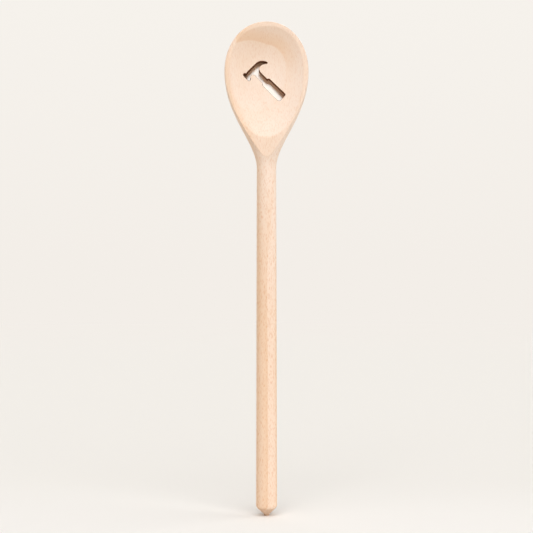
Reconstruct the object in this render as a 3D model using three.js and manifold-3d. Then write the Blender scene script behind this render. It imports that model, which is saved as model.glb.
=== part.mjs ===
// A cooking spoon in one piece of beech, with a claw hammer cut through its bowl.
//
// Millimetres. The spoon stands on the small flat at the end of its handle, with the origin in the
// middle of that flat: +Z runs up the handle to the bowl, and the hollow of the bowl faces -Y.

import * as THREE from 'three';
import { mergeVertices } from 'three/addons/utils/BufferGeometryUtils.js';
import Module from 'manifold-3d';

// Overall
const SPOON_LENGTH = 300;
const BOWL_WIDTH = 51.2;
const BOWL_LENGTH = 89; // from the thinnest part of the neck to the top
const BOWL_WIDEST_BELOW_TOP = 30.2;

// Handle
const NECK_DIAMETER = 11.85;
const HANDLE_END_DIAMETER = 12.9;
const END_TAPER_LENGTH = 5.4;
const SHOULDER_ROUND = 1.3;
const NUB_DIAMETER = 3.1; // the stub that the turning leaves on the end
const NUB_LENGTH = 0.85;
const NUB_ROUND = 0.5;

// How the turned outline leaves the neck, the widest place and the top
const NECK_FLARE_REACH = 16;
const FLANK_REACH = 27;
const CROWN_FULLNESS = 0.575; // a circle's quarter would be 0.552

// Planed face of the bowl
const FACE_PROUD_OF_NECK = 1.3;
const FACE_LEAN = 1.5; // degrees, backward going up

// Hollow of the bowl
const RIM_AT_SIDES = 3.2;
const RIM_AT_TOP = 3.4;
const HOLLOW_LENGTH = 67.4;
const HOLLOW_WIDEST_BELOW_TOP = 28.4; // from the top edge of the hollow
const HOLLOW_DEPTH = 6.5;
const HOLLOW_STEEPNESS = 2.2;
const OVAL_TOP_FULLNESS = 2.3; // an ellipse would be 2
const OVAL_BOTTOM_FULLNESS = 2;
const FLOOR_THICKNESS = 5.5; // under the deepest place of the hollow

// Claw hammer cut-out, drawn upright from the foot of its head and then tilted
const HAMMER_ACROSS = -5.2; // the foot of the head from the spoon's axis
const HAMMER_BELOW_TOP = 31.2;
const HAMMER_TILT = 45; // degrees
const SHAFT_WIDTH = 3.6;
const SHAFT_LENGTH = 6.2;
const GRIP_WIDTH = 5.9;
const GRIP_LENGTH = 15;
const GRIP_ROUND = 1.4;
const HEAD_HEIGHT = 5.4;
const CHEEK_FLARE = 0.9;
const POLL_LENGTH = 5.2; // from the middle of the shaft to the striker
const POLL_THICKNESS = 3.1;
const STRIKER_THICKNESS = 1.95;
const STRIKER_HEIGHT = 5.3;
const STRIKER_RISE = 0.5; // above the top of the head
const STRIKER_ROUND = 0.6;
const CLAW_LENGTH = 9.15; // from the middle of the shaft to the tip
const CLAW_THICKNESS = 2.8;
const CLAW_DROP = 4.8; // from the top of the head to the tip
const CLAW_TIP_ROUND = 0.6;

// Smoothness
const AROUND_BODY = 64;
const AROUND_HOLLOW = 64;
const STEPS_PER_LONG_CURVE = 18;
const STEPS_PER_ROUND = 5;
const HOLLOW_RINGS = 12;

const wasm = await Module();
wasm.setup();

// Heights along the axis, and the plane of the planed face
const neckZ = SPOON_LENGTH - BOWL_LENGTH;
const widestZ = SPOON_LENGTH - BOWL_WIDEST_BELOW_TOP;
const neckRadius = NECK_DIAMETER / 2;
const bowlRadius = BOWL_WIDTH / 2;
const lean = THREE.MathUtils.degToRad(FACE_LEAN);

function faceY(z) {
  return -(neckRadius + FACE_PROUD_OF_NECK) + (z - neckZ) * Math.tan(lean);
}

const hollowTopZ = SPOON_LENGTH - RIM_AT_TOP;
const hollowZ = hollowTopZ - HOLLOW_WIDEST_BELOW_TOP;
const backDepth = faceY(hollowZ) + HOLLOW_DEPTH + FLOOR_THICKNESS;

function toManifold(geometry) {
  const bare = geometry.clone();
  bare.deleteAttribute('normal');
  bare.deleteAttribute('uv');
  const welded = mergeVertices(bare, 1e-5);
  return new wasm.Manifold(new wasm.Mesh({
    numProp: 3,
    vertProperties: new Float32Array(welded.attributes.position.array),
    triVerts: new Uint32Array(welded.index.array),
  }));
}

function toGeometry(solid) {
  const mesh = solid.getMesh();
  const geometry = new THREE.BufferGeometry();
  geometry.setAttribute('position', new THREE.BufferAttribute(new Float32Array(mesh.vertProperties), 3));
  geometry.setIndex(new THREE.BufferAttribute(new Uint32Array(mesh.triVerts), 1));
  const flat = geometry.toNonIndexed();
  flat.computeVertexNormals();
  return flat;
}

// Half of the spoon's outline seen from the front: x is the distance from the axis, y the height.
function outline() {
  const nub = NUB_DIAMETER / 2;
  const end = HANDLE_END_DIAMETER / 2;
  const shoulder = new THREE.Vector2(end, END_TAPER_LENGTH);
  const coneFoot = new THREE.Vector2(nub, NUB_LENGTH);
  const coneTop = shoulder.clone().sub(coneFoot);
  coneTop.setLength(coneTop.length() - SHOULDER_ROUND).add(coneFoot);

  const path = new THREE.Path();
  path.moveTo(0, 0);
  path.lineTo(nub - NUB_ROUND, 0);
  path.quadraticCurveTo(nub, 0, nub, NUB_ROUND);
  path.lineTo(coneFoot.x, coneFoot.y);
  path.lineTo(coneTop.x, coneTop.y);
  path.quadraticCurveTo(shoulder.x, shoulder.y, shoulder.x, shoulder.y + SHOULDER_ROUND);
  path.lineTo(neckRadius, neckZ);
  path.bezierCurveTo(
    neckRadius, neckZ + NECK_FLARE_REACH,
    bowlRadius, widestZ - FLANK_REACH,
    bowlRadius, widestZ,
  );
  path.bezierCurveTo(
    bowlRadius, widestZ + CROWN_FULLNESS * BOWL_WIDEST_BELOW_TOP,
    CROWN_FULLNESS * bowlRadius, SPOON_LENGTH,
    0, SPOON_LENGTH,
  );

  const points = [new THREE.Vector2(0, 0)];
  for (const curve of path.curves) {
    const steps = curve.isCubicBezierCurve ? STEPS_PER_LONG_CURVE : STEPS_PER_ROUND;
    points.push(...curve.getPoints(curve.isLineCurve ? 1 : steps).slice(1));
  }
  return points;
}

// How deep the back lies behind the axis, as a share of the turned radius there: all of it on the
// handle, then a low crown behind the bowl that rounds over to the top.
function backShare(radius, z) {
  if (z <= neckZ || radius === 0) return 1;
  const rise = Math.min((z - neckZ) / (hollowZ - neckZ), 1);
  const crown = Math.max(z - hollowZ, 0) / (SPOON_LENGTH - hollowZ);
  const blend = rise * rise * (3 - 2 * rise);
  const depth = THREE.MathUtils.lerp(neckRadius, backDepth, blend) * Math.sqrt(1 - crown * crown);
  return depth / radius;
}

// The outline turned around the axis, with its back half drawn in to the crown.
function turnedBody() {
  const geometry = new THREE.LatheGeometry(outline(), AROUND_BODY);
  geometry.rotateX(Math.PI / 2);
  const position = geometry.attributes.position;
  for (let i = 0; i < position.count; i += 1) {
    const radius = Math.hypot(position.getX(i), position.getY(i));
    if (position.getY(i) > 0) {
      position.setY(i, position.getY(i) * backShare(radius, position.getZ(i)));
    }
  }
  return toManifold(geometry);
}

// Moves a cutter whose +Z points out of the planed face, from its own origin to a height on that face.
function placeOnFace(geometry, x, z) {
  geometry.rotateX(Math.PI / 2 - lean);
  geometry.translate(x, faceY(z), z);
  return toManifold(geometry);
}

// Everything in front of the planed face.
function planing() {
  const block = new THREE.BoxGeometry(2 * BOWL_WIDTH, 2 * SPOON_LENGTH, BOWL_WIDTH);
  block.translate(0, 0, BOWL_WIDTH / 2);
  return placeOnFace(block, 0, hollowZ);
}

// Stretches a point of the unit circle's disc to the oval of the hollow: x across, y up the face.
function stretchToOval(point) {
  const reach = point.length();
  const up = point.y > 0;
  const power = 2 / (up ? OVAL_TOP_FULLNESS : OVAL_BOTTOM_FULLNESS);
  const length = up ? HOLLOW_WIDEST_BELOW_TOP : HOLLOW_LENGTH - HOLLOW_WIDEST_BELOW_TOP;
  if (reach > 0) {
    const across = Math.sign(point.x) * Math.abs(point.x / reach) ** power;
    const along = Math.sign(point.y) * Math.abs(point.y / reach) ** power;
    point.set(across * (bowlRadius - RIM_AT_SIDES), along * length).multiplyScalar(reach);
  }
}

// A round dish of radius 1, carried on a little past its edge, and then stretched to the oval.
function hollow() {
  const overshoot = 1.1;
  const dish = [];
  for (let ring = 0; ring <= HOLLOW_RINGS; ring += 1) {
    const reach = overshoot * ring / HOLLOW_RINGS;
    dish.push(new THREE.Vector2(reach, HOLLOW_DEPTH * (reach ** HOLLOW_STEEPNESS - 1)));
  }
  dish.push(new THREE.Vector2(0, HOLLOW_DEPTH));
  const geometry = new THREE.LatheGeometry(dish, AROUND_HOLLOW);
  geometry.rotateX(Math.PI / 2);
  const position = geometry.attributes.position;
  const point = new THREE.Vector2();
  for (let i = 0; i < position.count; i += 1) {
    point.set(position.getX(i), position.getY(i));
    stretchToOval(point);
    position.setXY(i, point.x, point.y);
  }
  return placeOnFace(geometry, 0, hollowZ);
}

// The claw hammer, upright: grip below, striker on the left and claw on the right.
function hammerOutline() {
  const shaft = SHAFT_WIDTH / 2;
  const grip = GRIP_WIDTH / 2;
  const gripTop = -SHAFT_LENGTH;
  const gripEnd = gripTop - GRIP_LENGTH;
  const cheek = shaft + CHEEK_FLARE;
  const pollUnder = HEAD_HEIGHT - POLL_THICKNESS;
  const striker = -POLL_LENGTH;
  const strikerFace = striker - STRIKER_THICKNESS;
  const strikerTop = HEAD_HEIGHT + STRIKER_RISE;
  const strikerEnd = strikerTop - STRIKER_HEIGHT;
  const clawUnder = HEAD_HEIGHT - CLAW_THICKNESS;
  const clawTip = HEAD_HEIGHT - CLAW_DROP;
  const clawRoot = cheek + CHEEK_FLARE;

  const shape = new THREE.Shape();
  shape.moveTo(-grip + GRIP_ROUND, gripEnd);
  shape.lineTo(grip - GRIP_ROUND, gripEnd);
  shape.quadraticCurveTo(grip, gripEnd, grip, gripEnd + GRIP_ROUND);
  shape.lineTo(grip, gripTop - GRIP_ROUND);
  shape.quadraticCurveTo(grip, gripTop, shaft, gripTop);
  shape.lineTo(shaft, 0);

  shape.quadraticCurveTo(cheek, clawUnder, clawRoot, clawUnder);
  shape.quadraticCurveTo((clawRoot + CLAW_LENGTH) / 2, clawUnder, CLAW_LENGTH - CLAW_TIP_ROUND, clawTip);
  shape.quadraticCurveTo(CLAW_LENGTH, clawTip, CLAW_LENGTH, clawTip + CLAW_TIP_ROUND);
  shape.quadraticCurveTo((clawRoot + 2 * CLAW_LENGTH) / 3, HEAD_HEIGHT, clawRoot, HEAD_HEIGHT);

  shape.lineTo(-cheek, HEAD_HEIGHT);
  shape.quadraticCurveTo((striker - cheek) / 2, HEAD_HEIGHT, striker, HEAD_HEIGHT - STRIKER_RISE);
  shape.lineTo(striker, strikerTop - STRIKER_ROUND);
  shape.quadraticCurveTo(striker, strikerTop, striker - STRIKER_ROUND, strikerTop);
  shape.lineTo(strikerFace + STRIKER_ROUND, strikerTop);
  shape.quadraticCurveTo(strikerFace, strikerTop, strikerFace, strikerTop - STRIKER_ROUND);
  shape.lineTo(strikerFace, strikerEnd + STRIKER_ROUND);
  shape.quadraticCurveTo(strikerFace, strikerEnd, strikerFace + STRIKER_ROUND, strikerEnd);
  shape.lineTo(striker - STRIKER_ROUND, strikerEnd);
  shape.quadraticCurveTo(striker, strikerEnd, striker, strikerEnd + STRIKER_ROUND);
  shape.quadraticCurveTo(striker, pollUnder, (striker - cheek) / 2, pollUnder);
  shape.quadraticCurveTo(-shaft, pollUnder, -shaft, 0);

  shape.lineTo(-shaft, gripTop);
  shape.quadraticCurveTo(-grip, gripTop, -grip, gripTop - GRIP_ROUND);
  shape.lineTo(-grip, gripEnd + GRIP_ROUND);
  shape.quadraticCurveTo(-grip, gripEnd, -grip + GRIP_ROUND, gripEnd);
  return shape;
}

// A straight cut through the floor of the bowl, square to the planed face.
function hammerCut() {
  const through = 2 * (HOLLOW_DEPTH + FLOOR_THICKNESS);
  const geometry = new THREE.ExtrudeGeometry(hammerOutline(), {
    depth: 2 * through,
    curveSegments: STEPS_PER_ROUND,
    bevelEnabled: false,
  });
  geometry.translate(0, 0, -through);
  geometry.rotateZ(THREE.MathUtils.degToRad(HAMMER_TILT));
  return placeOnFace(geometry, HAMMER_ACROSS, SPOON_LENGTH - HAMMER_BELOW_TOP);
}

const wood = turnedBody().subtract(planing()).subtract(hollow()).subtract(hammerCut());

const beech = new THREE.MeshStandardMaterial({ color: 0xf0d5bc, roughness: 0.65, metalness: 0 });
const spoon = new THREE.Mesh(toGeometry(wood), beech);
spoon.name = 'spoon';

const cookingSpoon = new THREE.Group();
cookingSpoon.name = 'cooking_spoon';
cookingSpoon.add(spoon);

export default cookingSpoon;
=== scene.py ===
"""A cooking spoon in one piece of beech, with a claw hammer cut through its bowl.

Shapes are worked out in millimetres and put into the mesh in metres. The spoon stands on the small flat
at the end of its handle: +Z runs up the handle to the bowl, and the hollow of the bowl faces -Y.
"""

import math

import bmesh
import bpy
import numpy as np
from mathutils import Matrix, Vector


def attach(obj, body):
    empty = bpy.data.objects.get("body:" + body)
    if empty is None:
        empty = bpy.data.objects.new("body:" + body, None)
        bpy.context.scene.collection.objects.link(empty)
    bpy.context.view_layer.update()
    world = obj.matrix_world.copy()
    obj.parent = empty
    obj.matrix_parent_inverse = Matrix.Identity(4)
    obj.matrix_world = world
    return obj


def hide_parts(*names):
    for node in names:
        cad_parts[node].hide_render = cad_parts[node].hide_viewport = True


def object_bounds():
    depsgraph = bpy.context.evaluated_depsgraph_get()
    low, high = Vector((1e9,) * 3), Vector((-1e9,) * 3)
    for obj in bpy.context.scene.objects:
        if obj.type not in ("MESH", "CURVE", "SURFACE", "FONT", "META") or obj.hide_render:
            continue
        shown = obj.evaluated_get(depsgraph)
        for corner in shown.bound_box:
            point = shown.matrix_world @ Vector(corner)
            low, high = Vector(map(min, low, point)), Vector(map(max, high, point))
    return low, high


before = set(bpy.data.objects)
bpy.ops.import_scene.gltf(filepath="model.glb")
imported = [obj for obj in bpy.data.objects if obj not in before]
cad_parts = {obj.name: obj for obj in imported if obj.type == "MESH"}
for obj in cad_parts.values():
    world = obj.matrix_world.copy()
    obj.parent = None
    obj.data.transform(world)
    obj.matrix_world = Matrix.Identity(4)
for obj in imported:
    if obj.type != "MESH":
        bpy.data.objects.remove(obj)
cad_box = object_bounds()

MM = 0.001

# Overall sizes come from the frame
SPOON_LENGTH = cad_box[1].z / MM
BOWL_WIDTH = (cad_box[1].x - cad_box[0].x) / MM

# Outline seen from the front
BOWL_LENGTH = 89
BOWL_WIDEST_BELOW_TOP = 30.2
NECK_DIAMETER = 11.85
HANDLE_END_DIAMETER = 12.9
END_TAPER_LENGTH = 5.4
SHOULDER_ROUND = 1.3
NUB_DIAMETER = 3.1  # the stub that the turning leaves on the end
NUB_LENGTH = 0.85
NUB_ROUND = 0.5
CONE_FOOT_ROUND = 0.45
NECK_FLARE_REACH = 16
FLANK_REACH = 27
CROWN_FULLNESS = 0.575  # a circle's quarter would be 0.552

# Planed face and hollow of the bowl
FACE_PROUD_OF_NECK = 1.3
FACE_LEAN = math.radians(1.5)
EDGE_ROUND = 0.3
RIM_AT_SIDES = 3.2
RIM_AT_TOP = 3.4
HOLLOW_LENGTH = 67.4
HOLLOW_WIDEST_BELOW_TOP = 28.4
HOLLOW_DEPTH = 6.5
HOLLOW_STEEPNESS = 2.2
HOLLOW_LIP_EASE = 0.16
HOLLOW_LIP_REACH = 3 * HOLLOW_LIP_EASE
OVAL_TOP_FULLNESS = 2.3  # an ellipse would be 2
OVAL_BOTTOM_FULLNESS = 2
FLOOR_THICKNESS = 5.5  # of the bowl, under the deepest place of the hollow

# Claw hammer cut-out, drawn upright from the foot of its head and then tilted
HAMMER_ACROSS = -5.2
HAMMER_BELOW_TOP = 31.2
HAMMER_TILT = math.radians(45)
SHAFT_WIDTH = 3.6
SHAFT_LENGTH = 6.2
GRIP_WIDTH = 5.9
GRIP_LENGTH = 15
GRIP_ROUND = 1.4
HEAD_HEIGHT = 5.4
CHEEK_FLARE = 0.9
POLL_LENGTH = 5.2
POLL_THICKNESS = 3.1
STRIKER_THICKNESS = 1.95
STRIKER_HEIGHT = 5.3
STRIKER_RISE = 0.5
STRIKER_ROUND = 0.6
CLAW_LENGTH = 9.15
CLAW_THICKNESS = 2.8
CLAW_DROP = 4.8
CLAW_TIP_ROUND = 0.6
CUT_STEP = 0.22
CUT_EASE_PASSES = 4
CUT_LIP = 0.2
CUT_LIP_SWING = np.radians([70, 50, 25, 0])  # from the surface into the wood
CUT_CLEAR = 0.08  # how far the cutter spreads outside the wood
CUT_CLEAR_SLOPE = math.tan(math.radians(20))
CUT_STARTS = -1.0  # depths under the planed face
CUT_ENDS = HOLLOW_DEPTH + 3 * FLOOR_THICKNESS

# Smoothness
HANDLE_STEP = 3
ROUND_STEPS = 6
EDGE_ROWS = 130
NECK_ROWS = 12
TOP_ROWS = 10
SIDE_COLUMNS = 14
BACK_COLUMNS = 52
EDGE_COLUMNS = 5
HOLLOW_RINGS = 40
LIP_RINGS = 8
RIM_RINGS = 6
OUTLINE_SAMPLES = 20001
BACK_SAMPLES = 4001
BEND_POINTS = 25
EDGE_SEARCH_PASSES = 40
BACK_SEARCH_PASSES = 12
WELD_DISTANCE = 0.003
SMALLEST_EDGE = 0.001
SHARP_ANGLE = math.radians(35)

# Shares along the bowl's outline: the flank up to 1, then the crown
OUTLINE_END = 2

# Heights along the axis, and the plane of the planed face
neck_z = SPOON_LENGTH - BOWL_LENGTH
widest_z = SPOON_LENGTH - BOWL_WIDEST_BELOW_TOP
neck_radius = NECK_DIAMETER / 2
bowl_radius = BOWL_WIDTH / 2
hollow_z = SPOON_LENGTH - RIM_AT_TOP - HOLLOW_WIDEST_BELOW_TOP
hammer_up = (SPOON_LENGTH - HAMMER_BELOW_TOP - hollow_z) / math.cos(FACE_LEAN)


def face_y(z):
    """The planed face's place at a height: a plane that leans back going up."""
    return -(neck_radius + FACE_PROUD_OF_NECK) + (z - neck_z) * math.tan(FACE_LEAN)


back_depth = face_y(hollow_z) + HOLLOW_DEPTH + FLOOR_THICKNESS


def on_face(across, up, deep):
    """Places in the spoon's frame of points given across and up the planed face and deep under it."""
    y = face_y(hollow_z) + up * math.sin(FACE_LEAN) + deep * math.cos(FACE_LEAN)
    z = hollow_z + up * math.cos(FACE_LEAN) - deep * math.sin(FACE_LEAN)
    return np.stack(np.broadcast_arrays(across, y, z), axis=-1)


def quadratic(start, control, end, t):
    """Quadratic curve: (1-t)^2 of the start, 2t(1-t) of the control and t^2 of the end."""
    t = np.asarray(t)[:, None]
    return (1 - t) ** 2 * np.array(start) + 2 * t * (1 - t) * np.array(control) + t**2 * np.array(end)


def cubic(points, t):
    """Cubic curve through the first and last of four points, with its slope: Bernstein weights of t."""
    a, b, c, d = np.array(points, float)[:, None, :]
    t = np.asarray(t)[:, None]
    place = (1 - t) ** 3 * a + 3 * t * (1 - t) ** 2 * b + 3 * t**2 * (1 - t) * c + t**3 * d
    slope = 3 * (1 - t) ** 2 * (b - a) + 6 * t * (1 - t) * (c - b) + 3 * t**2 * (d - c)
    return place, slope


def smooth_rise(t):
    """Zero at 0 and one at 1, level at both: 3t^2 - 2t^3."""
    t = np.clip(t, 0, 1)
    return t * t * (3 - 2 * t)


def handle_profile():
    """Radius and height from the middle of the nub up to the neck.

    A stub with a rounded foot, a cone, a rounded shoulder, and a straight taper along the handle.
    """
    nub = NUB_DIAMETER / 2
    end = HANDLE_END_DIAMETER / 2
    shoulder = np.array([end, END_TAPER_LENGTH])
    foot = np.array([nub, NUB_LENGTH])
    along_cone = (shoulder - foot) / np.linalg.norm(shoulder - foot)
    steps = np.linspace(0, 1, ROUND_STEPS + 1)[1:]
    handle_foot = shoulder + [0, SHOULDER_ROUND]
    handle_steps = int((neck_z - handle_foot[1]) / HANDLE_STEP)
    share = np.linspace(0, 1, handle_steps + 1)[1:, None]
    parts = [
        [[0, 0], [(nub - NUB_ROUND) / 2, 0], [nub - NUB_ROUND, 0]],
        quadratic((nub - NUB_ROUND, 0), (nub, 0), (nub, NUB_ROUND), steps)[:-1],
        quadratic((nub, NUB_ROUND), foot, foot + CONE_FOOT_ROUND * along_cone, np.r_[0, steps]),
        quadratic(
            foot + CONE_FOOT_ROUND * along_cone,
            (foot + shoulder) / 2,
            shoulder - SHOULDER_ROUND * along_cone,
            steps,
        ),
        quadratic(shoulder - SHOULDER_ROUND * along_cone, shoulder, handle_foot, steps),
        handle_foot + share * (np.array([neck_radius, neck_z]) - handle_foot),
    ]
    return np.concatenate(parts)


def bowl_profile(share):
    """Radius, height and outward normal of the bowl's outline, at shares along it.

    Two cubic curves: the flank from the neck to the widest place, and the crown from there to the top.
    """
    flank = [
        (neck_radius, neck_z),
        (neck_radius, neck_z + NECK_FLARE_REACH),
        (bowl_radius, widest_z - FLANK_REACH),
        (bowl_radius, widest_z),
    ]
    crown = [
        (bowl_radius, widest_z),
        (bowl_radius, widest_z + CROWN_FULLNESS * BOWL_WIDEST_BELOW_TOP),
        (CROWN_FULLNESS * bowl_radius, SPOON_LENGTH),
        (0, SPOON_LENGTH),
    ]
    low_place, low_slope = cubic(flank, np.clip(share, 0, 1))
    high_place, high_slope = cubic(crown, np.clip(share - 1, 0, 1))
    is_crown = (share > 1)[:, None]
    place = np.where(is_crown, high_place, low_place)
    slope = np.where(is_crown, high_slope, low_slope)
    normal = np.stack([slope[:, 1], -slope[:, 0]], axis=1)
    return place, normal / np.linalg.norm(normal, axis=1, keepdims=True)


def edge_ball(share):
    """Where a ball of the edge's radius rolls along the rim, inside the planed face and the outline.

    The outline drawn in by the ball's radius, turned about the axis, meets the face drawn in as much.
    Gives the middle of the ball, and the square of how far it lies to the side. The square is negative
    where the ball can't roll.
    """
    place, normal = bowl_profile(share)
    inner = place - EDGE_ROUND * normal
    y = face_y(inner[:, 1]) + EDGE_ROUND / math.cos(FACE_LEAN)
    aside_squared = inner[:, 0] ** 2 - y**2
    x = np.sqrt(np.maximum(aside_squared, 0))
    return np.stack([x, y, inner[:, 1]], axis=1), aside_squared


def rim_shares():
    """Shares of the bowl's outline for rows spaced evenly along the rim, from its foot to its top."""
    fine = np.linspace(0, OUTLINE_END, OUTLINE_SAMPLES)
    middle, aside_squared = edge_ball(fine)
    rolling = np.flatnonzero(aside_squared > 0)
    first, last = rolling[0], rolling[-1]
    ends = [
        np.interp(0, aside_squared[[first - 1, first]], fine[[first - 1, first]]),
        np.interp(0, aside_squared[[last + 1, last]], fine[[last + 1, last]]),
    ]
    travel = np.r_[0, np.cumsum(np.linalg.norm(np.diff(middle[rolling], axis=0), axis=1))]
    even = np.linspace(0, travel[-1], EDGE_ROWS + 1)
    shares = np.interp(even, travel, fine[rolling])
    shares[[0, -1]] = ends
    return shares


def body_depth(radius, z):
    """How far the back lies behind the axis.

    On the handle it is the turned radius. Behind the bowl it rises smoothly to the bowl's depth, and
    then rounds over to the top as a quarter of an ellipse.
    """
    rise = smooth_rise((z - neck_z) / (hollow_z - neck_z))
    over = np.clip((z - hollow_z) / (SPOON_LENGTH - hollow_z), 0, 1)
    bowl = (neck_radius + (back_depth - neck_radius) * rise) * np.sqrt(1 - over**2)
    return np.where(z <= neck_z, radius, bowl)


def body_rows(profile, start_angle):
    """Rows around the body, one a height: a round front from the start angle, then an oval back.

    The front is the turned circle. The back is half an ellipse, as wide as the circle and as deep as
    the back there.
    """
    radius, z = profile.T
    front = np.outer(start_angle, np.linspace(1, 0, SIDE_COLUMNS + 1))
    back = np.linspace(0, math.pi, BACK_COLUMNS + 1)[1:-1]
    depth = body_depth(radius, z)
    right = np.stack([radius[:, None] * np.cos(front), radius[:, None] * np.sin(front)], axis=-1)
    behind = np.stack([np.outer(radius, np.cos(back)), np.outer(depth, np.sin(back))], axis=-1)
    left = right[:, ::-1] * [-1, 1]
    around = np.concatenate([right, behind, left], axis=1)
    heights = np.broadcast_to(z[:, None, None], around.shape[:2] + (1,))
    return np.concatenate([around, heights], axis=-1)


def rounded_edge(middle, normal):
    """Rows across the rim's rounded edge, from the planed face to the body.

    Each row swings from the face's normal to the body's, at the edge's radius from the ball's middle.
    """
    side = middle[:, :2] / np.linalg.norm(middle[:, :2], axis=1, keepdims=True)
    body = np.concatenate([side * normal[:, :1], normal[:, 1:]], axis=1)
    face = np.array([0, -math.cos(FACE_LEAN), math.sin(FACE_LEAN)])
    angle = np.arccos(np.clip(body @ face, -1, 1))[:, None, None]
    swing = np.linspace(0, 1, EDGE_COLUMNS + 1)[None, :, None]
    turned = np.sin((1 - swing) * angle) * face + np.sin(swing * angle) * body[:, None, :]
    return middle[:, None, :] + EDGE_ROUND * turned / np.sin(angle)


def oval_reach(across, up):
    """How far out a point of the face lies in the hollow's oval: 0 in its middle and 1 on its edge.

    A superellipse: across and up as shares of the oval's half size, to a power, added, and rooted.
    """
    power = np.where(up > 0, OVAL_TOP_FULLNESS, OVAL_BOTTOM_FULLNESS)
    half = np.where(up > 0, HOLLOW_WIDEST_BELOW_TOP, HOLLOW_LENGTH - HOLLOW_WIDEST_BELOW_TOP)
    wide = np.abs(across) / (bowl_radius - RIM_AT_SIDES)
    return (wide**power + (np.abs(up) / half) ** power) ** (1 / power)


def hollow_depth(across, up):
    """Depth under the planed face: a dish, deepest in the middle, whose lip eases into the flat."""
    dish = HOLLOW_DEPTH * (1 - oval_reach(across, up) ** HOLLOW_STEEPNESS)
    return (dish + np.sqrt(dish**2 + HOLLOW_LIP_EASE**2)) / 2


def hollow_edge(middle, rim):
    """Share of the way from the middle to each point of the rim at which the hollow's edge is crossed.

    Each pass halves the span that holds it.
    """
    low = np.zeros(len(rim))
    high = np.ones(len(rim))
    for _ in range(EDGE_SEARCH_PASSES):
        share = (low + high) / 2
        point = middle + share[:, None] * (rim - middle)
        inside = oval_reach(point[:, 0], point[:, 1]) < 1
        low = np.where(inside, share, low)
        high = np.where(inside, high, share)
    return (low + high) / 2


def face_patch(rim, middle):
    """Hollow and flat of the bowl: rings from a middle point to the rim, sunk to the hollow's depth.

    Along each ray the rings run to the lip, then close together over the lip, then over the flat.
    """
    edge = hollow_edge(middle, rim)
    length = np.linalg.norm(rim - middle, axis=1)
    lip = np.minimum(HOLLOW_LIP_REACH / length, (1 - edge) / 2)
    stations = [
        np.outer(np.linspace(0, 1, HOLLOW_RINGS + 1), edge - lip),
        (edge - lip) + np.outer(np.linspace(0, 1, LIP_RINGS + 1)[1:], 2 * lip),
        (edge + lip) + np.outer(np.linspace(0, 1, RIM_RINGS + 1)[1:], 1 - edge - lip),
    ]
    share = np.concatenate(stations)[:, :, None]
    flat = middle + share * (rim - middle)
    deep = hollow_depth(flat[..., 0], flat[..., 1])
    deep[-1] = 0
    return on_face(flat[..., 0], flat[..., 1], deep)


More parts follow.
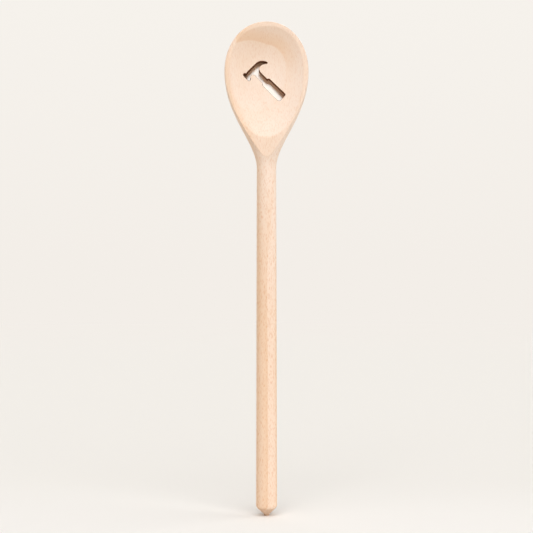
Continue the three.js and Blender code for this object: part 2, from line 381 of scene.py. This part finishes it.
def hammer_outline():
    """The claw hammer's outline, tilted and placed on the planed face, as evenly spaced points.

    Upright, the grip lies below, the striker on the left and the claw on the right: straight runs
    joined by quadratic curves, walked at an even step with the corners eased a little.
    """
    shaft = SHAFT_WIDTH / 2
    grip = GRIP_WIDTH / 2
    grip_top = -SHAFT_LENGTH
    grip_end = grip_top - GRIP_LENGTH
    cheek = shaft + CHEEK_FLARE
    poll_under = HEAD_HEIGHT - POLL_THICKNESS
    striker = -POLL_LENGTH
    striker_face = striker - STRIKER_THICKNESS
    striker_top = HEAD_HEIGHT + STRIKER_RISE
    striker_end = striker_top - STRIKER_HEIGHT
    claw_under = HEAD_HEIGHT - CLAW_THICKNESS
    claw_tip = HEAD_HEIGHT - CLAW_DROP
    claw_root = cheek + CHEEK_FLARE
    poll_middle = (striker - cheek) / 2
    # Each bend: where it starts, the corner that it rounds, and where it ends
    bends = [
        [(grip - GRIP_ROUND, grip_end), (grip, grip_end), (grip, grip_end + GRIP_ROUND)],
        [(grip, grip_top - GRIP_ROUND), (grip, grip_top), (shaft, grip_top)],
        [(shaft, 0), (cheek, claw_under), (claw_root, claw_under)],
        [
            (claw_root, claw_under),
            ((claw_root + CLAW_LENGTH) / 2, claw_under),
            (CLAW_LENGTH - CLAW_TIP_ROUND, claw_tip),
        ],
        [
            (CLAW_LENGTH - CLAW_TIP_ROUND, claw_tip),
            (CLAW_LENGTH, claw_tip),
            (CLAW_LENGTH, claw_tip + CLAW_TIP_ROUND),
        ],
        [
            (CLAW_LENGTH, claw_tip + CLAW_TIP_ROUND),
            ((claw_root + 2 * CLAW_LENGTH) / 3, HEAD_HEIGHT),
            (claw_root, HEAD_HEIGHT),
        ],
        [(-cheek, HEAD_HEIGHT), (poll_middle, HEAD_HEIGHT), (striker, HEAD_HEIGHT - STRIKER_RISE)],
        [
            (striker, striker_top - STRIKER_ROUND),
            (striker, striker_top),
            (striker - STRIKER_ROUND, striker_top),
        ],
        [
            (striker_face + STRIKER_ROUND, striker_top),
            (striker_face, striker_top),
            (striker_face, striker_top - STRIKER_ROUND),
        ],
        [
            (striker_face, striker_end + STRIKER_ROUND),
            (striker_face, striker_end),
            (striker_face + STRIKER_ROUND, striker_end),
        ],
        [
            (striker - STRIKER_ROUND, striker_end),
            (striker, striker_end),
            (striker, striker_end + STRIKER_ROUND),
        ],
        [(striker, striker_end + STRIKER_ROUND), (striker, poll_under), (poll_middle, poll_under)],
        [(poll_middle, poll_under), (-shaft, poll_under), (-shaft, 0)],
        [(-shaft, grip_top), (-grip, grip_top), (-grip, grip_top - GRIP_ROUND)],
        [(-grip, grip_end + GRIP_ROUND), (-grip, grip_end), (-grip + GRIP_ROUND, grip_end)],
    ]
    along = np.linspace(0, 1, BEND_POINTS)
    fine = np.concatenate([quadratic(*bend, along) for bend in bends])
    closed = np.concatenate([fine, fine[:1]])
    travel = np.r_[0, np.cumsum(np.linalg.norm(np.diff(closed, axis=0), axis=1))]
    count = int(travel[-1] / CUT_STEP)
    even = np.linspace(0, travel[-1], count, endpoint=False)
    points = np.stack([np.interp(even, travel, closed[:, axis]) for axis in (0, 1)], axis=1)
    for _ in range(CUT_EASE_PASSES):
        points = (np.roll(points, 1, axis=0) + 2 * points + np.roll(points, -1, axis=0)) / 4
    turn = np.array(
        [
            [math.cos(HAMMER_TILT), math.sin(HAMMER_TILT)],
            [-math.sin(HAMMER_TILT), math.cos(HAMMER_TILT)],
        ]
    )
    return points @ turn + [HAMMER_ACROSS, hammer_up]


def outward(outline):
    """Unit normals of an anticlockwise closed outline: its slope between neighbours, turned right."""
    slope = np.roll(outline, -1, axis=0) - np.roll(outline, 1, axis=0)
    normal = np.stack([slope[:, 1], -slope[:, 0]], axis=1)
    return normal / np.linalg.norm(normal, axis=1, keepdims=True)


def back_y(across, z):
    """The bowl's back behind the axis: half an ellipse, as wide and as deep as the body there."""
    place, _ = bowl_profile(np.linspace(0, OUTLINE_END, BACK_SAMPLES))
    radius = np.interp(z, place[:, 1], place[:, 0])
    return body_depth(radius, z) * np.sqrt(1 - (across / radius) ** 2)


def back_under_face(across, up):
    """Depth under the planed face at which a cut square to it meets the back of the bowl.

    Each pass goes on along the cut by as much as the back still lies away.
    """
    deep = np.full(len(across), HOLLOW_DEPTH + FLOOR_THICKNESS)
    for _ in range(BACK_SEARCH_PASSES):
        point = on_face(across, up, deep)
        deep = deep + (back_y(across, point[:, 2]) - point[:, 1]) / math.cos(FACE_LEAN)
    return deep


def hammer_cutter():
    """Rings of the hammer's outline through the bowl, square to the planed face.

    They widen where they leave the wood. Next to the hollow's floor and to the back, the rings follow a
    small quarter round: out by the lip less its cosine and toward the surface by its sine. Then they
    go straight on out of the wood.
    """
    outline = hammer_outline()
    normal = outward(outline)
    spread = CUT_LIP * (1 - np.cos(CUT_LIP_SWING))
    sunk = CUT_LIP * (1 - np.sin(CUT_LIP_SWING))
    clear_spread = spread[0] + CUT_CLEAR
    clear_sunk = sunk[0] - CUT_CLEAR * CUT_CLEAR_SLOPE
    rings = []
    for out, deep in zip(np.r_[clear_spread, spread], np.r_[clear_sunk, sunk]):
        point = outline + out * normal
        floor = hollow_depth(point[:, 0], point[:, 1])
        rings.append(on_face(point[:, 0], point[:, 1], floor + deep))
    for out, deep in zip(np.r_[spread[::-1], clear_spread], np.r_[sunk[::-1], clear_sunk]):
        point = outline + out * normal
        back = back_under_face(point[:, 0], point[:, 1])
        rings.append(on_face(point[:, 0], point[:, 1], back - deep))
    wide = outline + clear_spread * normal
    rings.insert(0, on_face(wide[:, 0], wide[:, 1], np.full(len(wide), CUT_STARTS)))
    rings.append(on_face(wide[:, 0], wide[:, 1], np.full(len(wide), CUT_ENDS)))
    return np.stack(rings)


def grid_faces(rows, columns, first=0, closed=False):
    """Corners of the quads of a grid of points numbered row by row.

    In a closed grid the last column is joined to the first.
    """
    number = first + np.arange(rows * columns).reshape(rows, columns)
    if closed:
        number = np.concatenate([number, number[:, :1]], axis=1)
    quads = [number[:-1, :-1], number[:-1, 1:], number[1:, 1:], number[1:, :-1]]
    return np.stack(quads, axis=-1).reshape(-1, 4)


def weld(mesh):
    """Merges points that lie together, drops faces without a size, and turns the faces outward."""
    work = bmesh.new()
    work.from_mesh(mesh)
    bmesh.ops.remove_doubles(work, verts=work.verts, dist=WELD_DISTANCE * MM)
    bmesh.ops.dissolve_degenerate(work, edges=work.edges, dist=SMALLEST_EDGE * MM)
    bmesh.ops.recalc_face_normals(work, faces=work.faces)
    work.to_mesh(mesh)
    work.free()


def mesh_from(name, grids, caps=()):
    """One mesh of grids of points in millimetres, with caps given as lists of point numbers.

    Each grid comes with whether it is closed. Doubles are merged and faces turned outward.
    """
    points = []
    faces = []
    count = 0
    for grid, closed in grids:
        rows, columns = grid.shape[:2]
        faces.extend(grid_faces(rows, columns, count, closed).tolist())
        points.append(grid.reshape(-1, 3))
        count += rows * columns
    faces.extend(caps)
    mesh = bpy.data.meshes.new(name)
    mesh.from_pydata(np.concatenate(points) * MM, [], faces)
    weld(mesh)
    return mesh


def whole_body():
    """The spoon before its cut-out: the body around the axis, the rounded rim, the hollow and the flat."""
    shares = rim_shares()
    middle, _ = edge_ball(shares)
    middle[[0, -1], 0] = 0
    rim_place, rim_normal = bowl_profile(shares)
    below, _ = bowl_profile(np.linspace(0, shares[0], NECK_ROWS + 1)[1:-1])
    above, _ = bowl_profile(np.linspace(shares[-1], OUTLINE_END, TOP_ROWS + 1)[1:])
    lower = np.concatenate([handle_profile(), below])
    front_angle = -math.pi / 2
    angles = np.concatenate(
        [
            np.full(len(lower), front_angle),
            np.arctan2(middle[:, 1], middle[:, 0]),
            np.full(len(above), front_angle),
        ]
    )
    body = body_rows(np.concatenate([lower, rim_place, above]), angles)
    right_edge = rounded_edge(middle, rim_normal)
    left_edge = right_edge * [-1, 1, 1]
    flat_edge = right_edge[:, 0]
    up = (flat_edge[:, 2] - hollow_z) / math.cos(FACE_LEAN)
    half = np.stack([flat_edge[:, 0], up], axis=1)
    rim = np.concatenate([half, half[-2:0:-1] * [-1, 1]])
    toward_grip = np.array([math.sin(HAMMER_TILT), -math.cos(HAMMER_TILT)])
    shaft_middle = np.array([HAMMER_ACROSS, hammer_up]) + SHAFT_LENGTH / 2 * toward_grip
    face = face_patch(rim, shaft_middle)
    grids = [(body, False), (right_edge, False), (left_edge, False), (face, True)]
    return mesh_from("beech_spoon", grids)


def cutter_mesh():
    """The hammer cutter's rings, with a cap at each end."""
    rings = hammer_cutter()
    rows, columns = rings.shape[:2]
    caps = [list(range(columns)), list(range((rows - 1) * columns, rows * columns))]
    return mesh_from("hammer_cutter", [(rings, True)], caps)


def linked(name, data):
    """A new object of that mesh, lamp or camera, in the scene."""
    made = bpy.data.objects.new(name, data)
    bpy.context.scene.collection.objects.link(made)
    return made


def cut(piece, cutter):
    """Takes the cutter out of the piece, and leaves the result as the piece's own mesh."""
    modifier = piece.modifiers.new("hammer cut", "BOOLEAN")
    modifier.operation = "DIFFERENCE"
    modifier.solver = "EXACT"
    modifier.object = cutter
    graph = bpy.context.evaluated_depsgraph_get()
    result = bpy.data.meshes.new_from_object(piece.evaluated_get(graph))
    piece.modifiers.clear()
    weld(result)
    piece.data = result
    bpy.data.objects.remove(cutter)


def srgb(red, green, blue):
    """A colour written as 0 to 255 in sRGB, as the linear values that sockets take."""
    share = np.array([red, green, blue]) / 255
    linear = np.where(share <= 0.04045, share / 12.92, ((share + 0.055) / 1.055) ** 2.4)
    return (*linear.tolist(), 1)


class Nodes:
    """Adds nodes to a tree: a call sets a node's own settings, then its inputs by value or by link."""

    def __init__(self, tree):
        self.tree = tree

    def add(self, kind, inputs=None, **settings):
        """A node of that kind. Inputs are keyed by name or number."""
        made = self.tree.nodes.new("ShaderNode" + kind)
        for name, value in settings.items():
            setattr(made, name, value)
        for key, value in (inputs or {}).items():
            if isinstance(value, bpy.types.NodeSocket):
                self.tree.links.new(value, made.inputs[key])
            else:
                made.inputs[key].default_value = value
        return made

    def math(self, operation, *values):
        """The result of a Math node."""
        return self.add("Math", dict(enumerate(values)), operation=operation).outputs[0]

    def ramp(self, value, low, high, to_low=0.0, to_high=1.0, smooth=True):
        """Value carried from one range to another, and held at its ends."""
        inputs = {
            "Value": value,
            "From Min": low,
            "From Max": high,
            "To Min": to_low,
            "To Max": to_high,
        }
        kind = "SMOOTHSTEP" if smooth else "LINEAR"
        return self.add("MapRange", inputs, interpolation_type=kind).outputs["Result"]

    def mix(self, share, first, second):
        """One colour, and another by share."""
        return self.add("Mix", {0: share, 6: first, 7: second}, data_type="RGBA").outputs[2]

    def noise(self, vector, detail=2.0, roughness=0.5):
        """Smooth noise about 0.5, whose waves are about 1 long."""
        inputs = {"Vector": vector, "Scale": 1.0, "Detail": detail, "Roughness": roughness}
        return self.add("TexNoise", inputs).outputs["Fac"]

    def join(self, x, y, z):
        """A vector of three values."""
        return self.add("CombineXYZ", {"X": x, "Y": y, "Z": z}).outputs[0]


# Growth layers of the beech, in millimetres: shallow arches that drift from the handle to the bowl
LAYER_THICKNESS = 8
LAYER_WANDER = 0.4
WANDER_WIDTH = 11
WANDER_LENGTH = 33
ARCH_RADIUS = 86
LAYER_TILT_AT_HANDLE = 0.6
LAYER_TILT_AT_BOWL = -0.105
LAYER_BACK_AT_HANDLE = 5.7
LAYER_BACK_AT_BOWL = 1.1
DRIFT_FROM = 140
DRIFT_TO = 240

# How a layer darkens from its front, 0, to its back, 1, and by how much
LAYER_DARKENS_FROM = 0.58
LAYER_DARKENS_TO = 0.88
LAYER_BODY = 0.7
LAYER_LINE_FROM = 0.85
LAYER_LINE_TO = 0.96
LAYER_LINE = 0.3
LAYER_FADES_FROM = 0.965

# Where the dark layers are bold: low on the handle, and at the top of the bowl, where their tint is partly
# painted shade on the hollow's upper slope
BOLD_BELOW = 90
FAINT_ABOVE = 235
FAINT_BELOW = 262
BOLD_ABOVE = 292
BOLD_AND_SHADE_AT_TOP = 0.9
BOLD_TINT_AND_TOP_SHADE = 0.35
FAINT_LAYER = 0.16
BOLD_LAYER = 0.55

# Flecks, fibre and unevenness, in millimetres
FLECK_WIDTH = 0.42
FLECK_LENGTH = 2.0
FLECK_REACH = 0.7
FIBRE_WIDTH = 0.22
FIBRE_LENGTH = 11
TONE_WIDTH = 12.5
TONE_LENGTH = 36

# Noise of the flecks, and the values of it at which a fleck starts and is full
FLECK_DETAIL = 1.0
FLECK_BREAK_UP = 0.4
FLECK_FROM = 0.49
FLECK_TO = 0.71

# What the grain puts out
MARKS = ("Late", "Flecks", "Fibre", "Tone")


def beech_grain():
    """A node group with the marks of beech at a place in the wood, given in metres.

    Late is the share of dark late wood, with painted shade in it at the top of the bowl: each growth layer
    darkens from front to back and ends at a line.
    Flecks are the cut ends of the rays, thin across and longer along the grain. Fibre is fine streaks
    along the grain, and Tone a broad unevenness.
    """
    tree = bpy.data.node_groups.new("beech grain", "ShaderNodeTree")
    tree.interface.new_socket("Place", in_out="INPUT", socket_type="NodeSocketVector")
    for name in MARKS:
        tree.interface.new_socket(name, in_out="OUTPUT", socket_type="NodeSocketFloat")
    n = Nodes(tree)
    place = tree.nodes.new("NodeGroupInput").outputs["Place"]
    millimetres = n.add("VectorMath", {0: place, "Scale": 1 / MM}, operation="SCALE").outputs[0]
    x, y, z = n.add("SeparateXYZ", {0: millimetres}).outputs

    def stretched(across, deep, along):
        """The place, with each of its three lengths counted in steps of its own."""
        return n.join(
            n.math("DIVIDE", x, across),
            n.math("DIVIDE", y, deep),
            n.math("DIVIDE", z, along),
        )

    arch = n.math("DIVIDE", n.math("MULTIPLY", x, x), 2 * ARCH_RADIUS)
    tilt_share = n.ramp(z, DRIFT_FROM, DRIFT_TO, LAYER_TILT_AT_HANDLE, LAYER_TILT_AT_BOWL)
    tilt = n.math("MULTIPLY", x, tilt_share)
    back = n.ramp(z, DRIFT_FROM, DRIFT_TO, LAYER_BACK_AT_HANDLE, LAYER_BACK_AT_BOWL)
    wander_noise = n.noise(stretched(WANDER_WIDTH, WANDER_WIDTH, WANDER_LENGTH))
    wander = n.math("MULTIPLY", n.math("SUBTRACT", wander_noise, 0.5), 2 * LAYER_WANDER)
    shaped = n.math("ADD", n.math("ADD", arch, tilt), n.math("ADD", back, wander))
    within = n.math("FRACT", n.math("DIVIDE", n.math("ADD", y, shaped), LAYER_THICKNESS))
    body = n.ramp(within, LAYER_DARKENS_FROM, LAYER_DARKENS_TO, 0.0, LAYER_BODY)
    line = n.ramp(within, LAYER_LINE_FROM, LAYER_LINE_TO, 0.0, LAYER_LINE)
    fade = n.ramp(within, LAYER_FADES_FROM, 1.0, 1.0, 0.0)
    layer = n.math("MULTIPLY", n.math("ADD", body, line), fade)
    bold_low = n.ramp(z, BOLD_BELOW, FAINT_ABOVE, 1.0, 0.0)
    bold = n.math("MAXIMUM", bold_low, n.ramp(z, FAINT_BELOW, BOLD_ABOVE, 0.0, BOLD_AND_SHADE_AT_TOP))
    strength = n.math("MULTIPLY_ADD", bold, BOLD_LAYER, FAINT_LAYER)
    # A flat late tint where the layers are bold: grain on the handle, and at the top of the bowl partly
    # painted shade
    late = n.math("MULTIPLY_ADD", layer, strength, n.math("MULTIPLY", bold, BOLD_TINT_AND_TOP_SHADE))
    fleck_place = stretched(FLECK_WIDTH, FLECK_REACH, FLECK_LENGTH)
    fleck_noise = n.noise(fleck_place, FLECK_DETAIL, FLECK_BREAK_UP)
    flecks = n.ramp(fleck_noise, FLECK_FROM, FLECK_TO)
    fibre = n.noise(stretched(FIBRE_WIDTH, FIBRE_WIDTH, FIBRE_LENGTH))
    tone = n.noise(stretched(TONE_WIDTH, TONE_WIDTH, TONE_LENGTH))
    out = tree.nodes.new("NodeGroupOutput")
    for name, value in zip(MARKS, (late, flecks, fibre, tone)):
        tree.links.new(value, out.inputs[name])
    return tree


def new_material(name):
    """An empty node material."""
    made = bpy.data.materials.new(name)
    made.use_nodes = True
    made.node_tree.nodes.clear()
    return made, Nodes(made.node_tree)


# Colours of the wood
EARLY_WOOD = srgb(245, 224, 207)
LATE_WOOD = srgb(235, 200, 168)
FLECK_BROWN = srgb(218, 158, 104)
END_GRAIN = srgb(198, 160, 128)
# Stub: darker torn end grain, and partly painted shade under the cone where it meets the floor
STUB_BROWN_AND_SHADE = srgb(170, 132, 98)
SCORCH_DARK = srgb(98, 54, 24)
SCORCH_LIGHT = srgb(150, 96, 56)

# Share of each tint, and in millimetres where it lies
FLAT_TINT = 0.3
FLAT_REACH = 0.5
# Painted shade: a band along the left side, which gets less light, is darkened
LEFT_PAINTED_SHADE = 0.42
LEFT_PAINTED_SHADE_LOW = 0.06
LEFT_SHADE_FADES_BELOW = 90
LEFT_SHADE_REACH = 5.5
FLECK_TINT = 0.46
FLECK_TINT_IN_BOWL = 0.2
FLECKS_FADE_FROM = neck_z - 40
END_TINT = 0.5
END_FROM = END_TAPER_LENGTH - 1
STUB_TINT_AND_SHADE = 0.8
STUB_FROM = 0.6 * NUB_LENGTH
STUB_TO = 1.3 * NUB_LENGTH

# Noise at which the unevenness and the streaks start and are full, and their shares
TONE_FROM = 0.4
TONE_TO = 0.75
TONE_TINT = 0.2
STREAK_FROM = 0.5
STREAK_TO = 0.8
STREAK_TINT = 0.25

# Surface of the wood: roughness from low to high fibres, gloss, shares of the relief, its millimetres
FIBRE_LOW = 0.3
FIBRE_HIGH = 0.7
BEECH_ROUGHNESS = (0.58, 0.7)
BEECH_GLOSS = 0.3
SCORCH_ROUGHNESS = (0.75, 0.9)
SCORCH_GLOSS = 0.2
FIBRE_RELIEF = 0.6
FLECK_RELIEF = 0.5
RELIEF_HEIGHT = 0.1
RELIEF_STRENGTH = 0.12


def beech(grain):
    """Pale sanded beech: light and dark growth layers, ray flecks and fibre.

    The planed flat is a little darker, the left side is darkened as painted shade, and the end grain of
    the cone and stub is darker, the stub partly as painted shade.
    """
    made, n = new_material("beech")
    place = n.add("TexCoord").outputs["Object"]
    marks = n.add("Group", {"Place": place}, node_tree=grain).outputs
    late, flecks, fibre, tone = (marks[name] for name in MARKS)
    x, y, z = n.add("SeparateXYZ", {0: place}).outputs
    face = n.math("MULTIPLY_ADD", z, math.tan(FACE_LEAN), face_y(0) * MM)
    flat = n.ramp(n.math("SUBTRACT", y, face), 0.0, FLAT_REACH * MM, FLAT_TINT, 0.0)
    # Painted shade: the wood within a band along the left outline is darkened, where less light falls
    half_width = n.ramp(z, neck_z * MM, widest_z * MM, neck_radius * MM, bowl_radius * MM)
    near_left_shade = n.ramp(n.math("ADD", x, half_width), 0.0, LEFT_SHADE_REACH * MM, 1.0, 0.0)
    left_shade_share = n.ramp(z, LEFT_SHADE_FADES_BELOW * MM, DRIFT_FROM * MM, LEFT_PAINTED_SHADE_LOW, LEFT_PAINTED_SHADE)
    left = n.math("MULTIPLY", near_left_shade, left_shade_share)
    dark = n.math("ADD", n.math("MAXIMUM", late, flat), left)
    wood = n.mix(dark, EARLY_WOOD, LATE_WOOD)
    toned = n.mix(n.ramp(tone, TONE_FROM, TONE_TO, 0.0, TONE_TINT), wood, LATE_WOOD)
    streaked = n.mix(n.ramp(fibre, STREAK_FROM, STREAK_TO, 0.0, STREAK_TINT), toned, LATE_WOOD)
    fleck_strength = n.ramp(z, FLECKS_FADE_FROM * MM, hollow_z * MM, FLECK_TINT, FLECK_TINT_IN_BOWL)
    flecked = n.mix(n.math("MULTIPLY", flecks, fleck_strength), streaked, FLECK_BROWN)
    end = n.ramp(z, END_FROM * MM, END_TAPER_LENGTH * MM, END_TINT, 0.0)
    ended = n.mix(end, flecked, END_GRAIN)
    # The stub darkened: its torn end grain, and partly painted shade where it meets the floor
    stub = n.ramp(z, STUB_FROM * MM, STUB_TO * MM, STUB_TINT_AND_SHADE, 0.0)
    coloured = n.mix(stub, ended, STUB_BROWN_AND_SHADE)
    raised = n.math("MULTIPLY", fibre, FIBRE_RELIEF)
    height = n.math("SUBTRACT", raised, n.math("MULTIPLY", flecks, FLECK_RELIEF))
    relief = n.add(
        "Bump",
        {"Strength": RELIEF_STRENGTH, "Distance": RELIEF_HEIGHT * MM, "Height": height},
    )
    rough = n.ramp(fibre, FIBRE_LOW, FIBRE_HIGH, *BEECH_ROUGHNESS)
    shader = n.add(
        "BsdfPrincipled",
        {
            "Base Color": coloured,
            "Roughness": rough,
            "Specular IOR Level": BEECH_GLOSS,
            "Normal": relief.outputs["Normal"],
        },
    )
    n.add("OutputMaterial", {"Surface": shader.outputs[0]})
    return made


def scorched_beech(grain):
    """The browned walls of the cut: dark, streaked along the grain, dull."""
    made, n = new_material("scorched_beech")
    place = n.add("TexCoord").outputs["Object"]
    fibre = n.add("Group", {"Place": place}, node_tree=grain).outputs["Fibre"]
    colour = n.mix(n.ramp(fibre, FIBRE_LOW, FIBRE_HIGH), SCORCH_DARK, SCORCH_LIGHT)
    rough = n.ramp(fibre, FIBRE_LOW, FIBRE_HIGH, *SCORCH_ROUGHNESS)
    shader = n.add(
        "BsdfPrincipled",
        {"Base Color": colour, "Roughness": rough, "Specular IOR Level": SCORCH_GLOSS},
    )
    n.add("OutputMaterial", {"Surface": shader.outputs[0]})
    return made


# Spoon: the cutter's faces are in the second slot, so the walls that it leaves are scorched
grain = beech_grain()
spoon = linked("beech_spoon", whole_body())
spoon.data.materials.append(beech(grain))
spoon.data.materials.append(scorched_beech(grain))
cutter = linked("hammer_cutter", cutter_mesh())
for material in spoon.data.materials:
    cutter.data.materials.append(material)
cutter.data.polygons.foreach_set("material_index", np.ones(len(cutter.data.polygons), np.int32))
cut(spoon, cutter)
spoon.data.polygons.foreach_set("use_smooth", np.ones(len(spoon.data.polygons), bool))
spoon.data.set_sharp_from_angle(angle=SHARP_ANGLE)
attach(spoon, "root")
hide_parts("spoon")


# Floor, background and light from all round, in metres
AMBIENT = 0.28
AMBIENT_COLOUR = (1, 0.995, 0.985, 1)
AMBIENT_LOSS_TO_TOP = 0.28
FLOOR_RADIUS = 2.4
FLOOR_RINGS = 6
FLOOR_COLUMNS = 64
FLOOR_FADES_FROM = 0.4 * FLOOR_RADIUS
FLOOR_FADES_TO = 0.95 * FLOOR_RADIUS
FLOOR_NEAR = srgb(237, 233, 228)
FLOOR_FAR = srgb(233, 229, 223)
FLOOR_CHANGE_FROM = -0.04
FLOOR_CHANGE_TO = 0.13
BACKGROUND_LOW = srgb(243, 238, 232)
BACKGROUND_HIGH = srgb(246, 242, 236)
BACKGROUND_RISE = 0.24


def seen_directly(n):
    """One for what the camera, a gloss or a clear surface shows, and nothing for light on things."""
    path = n.add("LightPath")
    shown = n.math("MAXIMUM", path.outputs["Is Camera Ray"], path.outputs["Is Glossy Ray"])
    return n.math("MAXIMUM", shown, path.outputs["Is Transmission Ray"])


def floor_material():
    """Plain pale paper, that fades into the background far out."""
    made, n = new_material("pale_floor")
    place = n.add("TexCoord").outputs["Object"]
    far = n.add("VectorMath", {0: place}, operation="LENGTH").outputs["Value"]
    behind = n.add("SeparateXYZ", {0: place}).outputs["Y"]
    colour = n.mix(n.ramp(behind, FLOOR_CHANGE_FROM, FLOOR_CHANGE_TO), FLOOR_NEAR, FLOOR_FAR)
    paper = n.add("BsdfDiffuse", {"Color": colour})
    strength = n.ramp(seen_directly(n), 0.0, 1.0, AMBIENT, 1.0, smooth=False)
    background = n.add("Emission", {"Color": BACKGROUND_LOW, "Strength": strength})
    fade = n.ramp(far, FLOOR_FADES_FROM, FLOOR_FADES_TO)
    mixed = n.add("MixShader", {0: fade, 1: paper.outputs[0], 2: background.outputs[0]})
    n.add("OutputMaterial", {"Surface": mixed.outputs[0]})
    return made


def facing(mesh, way):
    """The mesh, turned over if its first face looks away from that way."""
    if mesh.polygons[0].normal.dot(way) < 0:
        mesh.flip_normals()
    return mesh


def floor_mesh():
    """A flat disc at the foot of the spoon: rings about the axis."""
    reach = np.linspace(0, FLOOR_RADIUS / MM, FLOOR_RINGS + 1)
    turn = np.linspace(0, 2 * math.pi, FLOOR_COLUMNS, endpoint=False)
    across = np.outer(reach, np.cos(turn))
    behind = np.outer(reach, np.sin(turn))
    rings = np.stack([across, behind, np.zeros_like(across)], axis=-1)
    return facing(mesh_from("floor", [(rings, True)]), Vector((0, 0, 1)))


# Card that shows through the cut-out, in millimetres
CARD_SUNK = 0.4
CARD_MARGIN = 1.5
CARD_COLUMNS = 40
# Tan: in the bowl's shade it shows brown, as painted warm light; the card's cool lamp makes its lit part
# white
CARD_COLOUR = (0.90, 0.62, 0.42, 1)
CARD_LIGHT_COLOUR = (0.40, 0.665, 1.0)


def card_mesh():
    """A card across the back of the cut-out: the bowl's back round the hammer, sunk into the wood."""
    outline = hammer_outline()
    place = on_face(outline[:, 0], outline[:, 1], HOLLOW_DEPTH)
    low = place.min(axis=0) - CARD_MARGIN
    high = place.max(axis=0) + CARD_MARGIN
    across = np.linspace(low[0], high[0], CARD_COLUMNS)
    height = np.linspace(low[2], high[2], CARD_COLUMNS)
    x, z = np.meshgrid(across, height)
    sheet = np.stack([x, back_y(x, z) - CARD_SUNK, z], axis=-1)
    return facing(mesh_from("card", [(sheet, False)]), Vector((0, -1, 0)))


def card_material():
    """Dull tan card, clear from behind: the tan is painted warm light in the bowl's shade on it, and the
    card's own cool lamp shows its lit part white.
    """
    made, n = new_material("card")
    paper = n.add("BsdfDiffuse", {"Color": CARD_COLOUR})
    clear = n.add("BsdfTransparent")
    behind = n.add("NewGeometry").outputs["Backfacing"]
    mixed = n.add("MixShader", {0: behind, 1: paper.outputs[0], 2: clear.outputs[0]})
    n.add("OutputMaterial", {"Surface": mixed.outputs[0]})
    return made


floor = linked("floor", floor_mesh())
floor.data.materials.append(floor_material())
card = linked("card", card_mesh())
card.data.materials.append(card_material())
card.visible_shadow = False


def studio_world():
    """Soft light from all round, more from low down, and a plain pale background for the camera."""
    world = bpy.data.worlds.new("studio")
    world.use_nodes = True
    world.node_tree.nodes.clear()
    n = Nodes(world.node_tree)
    direction = n.add("TexCoord").outputs["Generated"]
    rise = n.add("SeparateXYZ", {0: direction}).outputs["Z"]
    strength = n.math("MULTIPLY_ADD", rise, -AMBIENT_LOSS_TO_TOP, AMBIENT)
    light = n.add("Background", {"Color": AMBIENT_COLOUR, "Strength": strength})
    risen = n.ramp(rise, 0.0, BACKGROUND_RISE, smooth=False)
    backdrop = n.mix(risen, BACKGROUND_LOW, BACKGROUND_HIGH)
    seen = n.add("Background", {"Color": backdrop, "Strength": 1.0})
    mixed = n.add("MixShader", {0: seen_directly(n), 1: light.outputs[0], 2: seen.outputs[0]})
    n.add("OutputWorld", {"Surface": mixed.outputs[0]})
    return world


def sun(name, azimuth, elevation, irradiance, width):
    """A wide, even light from azimuth degrees right of the camera and elevation degrees up."""
    lamp = bpy.data.lights.new(name, "SUN")
    lamp.energy = math.pi * irradiance
    lamp.angle = math.radians(width)
    made = linked(name, lamp)
    turn = math.radians(azimuth)
    rise = math.radians(elevation)
    level = math.cos(rise)
    toward = Vector((math.sin(turn) * level, -math.cos(turn) * level, math.sin(rise)))
    made.rotation_mode = "QUATERNION"
    made.rotation_quaternion = toward.to_track_quat("Z", "Y")
    return made


def light_only(lamp, piece):
    """Keeps a lamp's light to one piece."""
    alone = bpy.data.collections.new(piece.name + " alone")
    alone.objects.link(piece)
    lamp.light_linking.receiver_collection = alone


# Lamps: degrees right of the camera, degrees up, light on a surface that faces it, degrees wide
LAMPS = {
    "key_light": (10, 45, 0.65, 60),
    "fill_light": (-40, 45, 0.17, 45),
    "side_light": (95, 25, 0.31, 45),
    "back_light": (180, 45, 0.13, 70),
    "top_light": (0, 90, 0.20, 60),
    "rear_light": (200, 25, 0.35, 60),
    "card_light": (2, 29, 1.85, 16),
}

bpy.context.scene.world = studio_world()
lamps = {name: sun(name, *values) for name, values in LAMPS.items()}
lamps["card_light"].data.color = CARD_LIGHT_COLOUR
light_only(lamps["rear_light"], spoon)
light_only(lamps["card_light"], card)

# Camera, level and in front of the middle of the spoon: metres, and millimetres of lens and sensor
CAMERA_DISTANCE = 0.669
CAMERA_HEIGHT = 0.15145
CAMERA_LENS = 74.24
CAMERA_SENSOR = 36

camera_data = bpy.data.cameras.new("camera")
camera_data.sensor_width = CAMERA_SENSOR
camera_data.lens = CAMERA_LENS
camera = linked("camera", camera_data)
camera.location = (0, -CAMERA_DISTANCE, CAMERA_HEIGHT)
camera.rotation_euler = (math.radians(90), 0, 0)
bpy.context.scene.camera = camera
bpy.context.scene.view_settings.view_transform = "Standard"
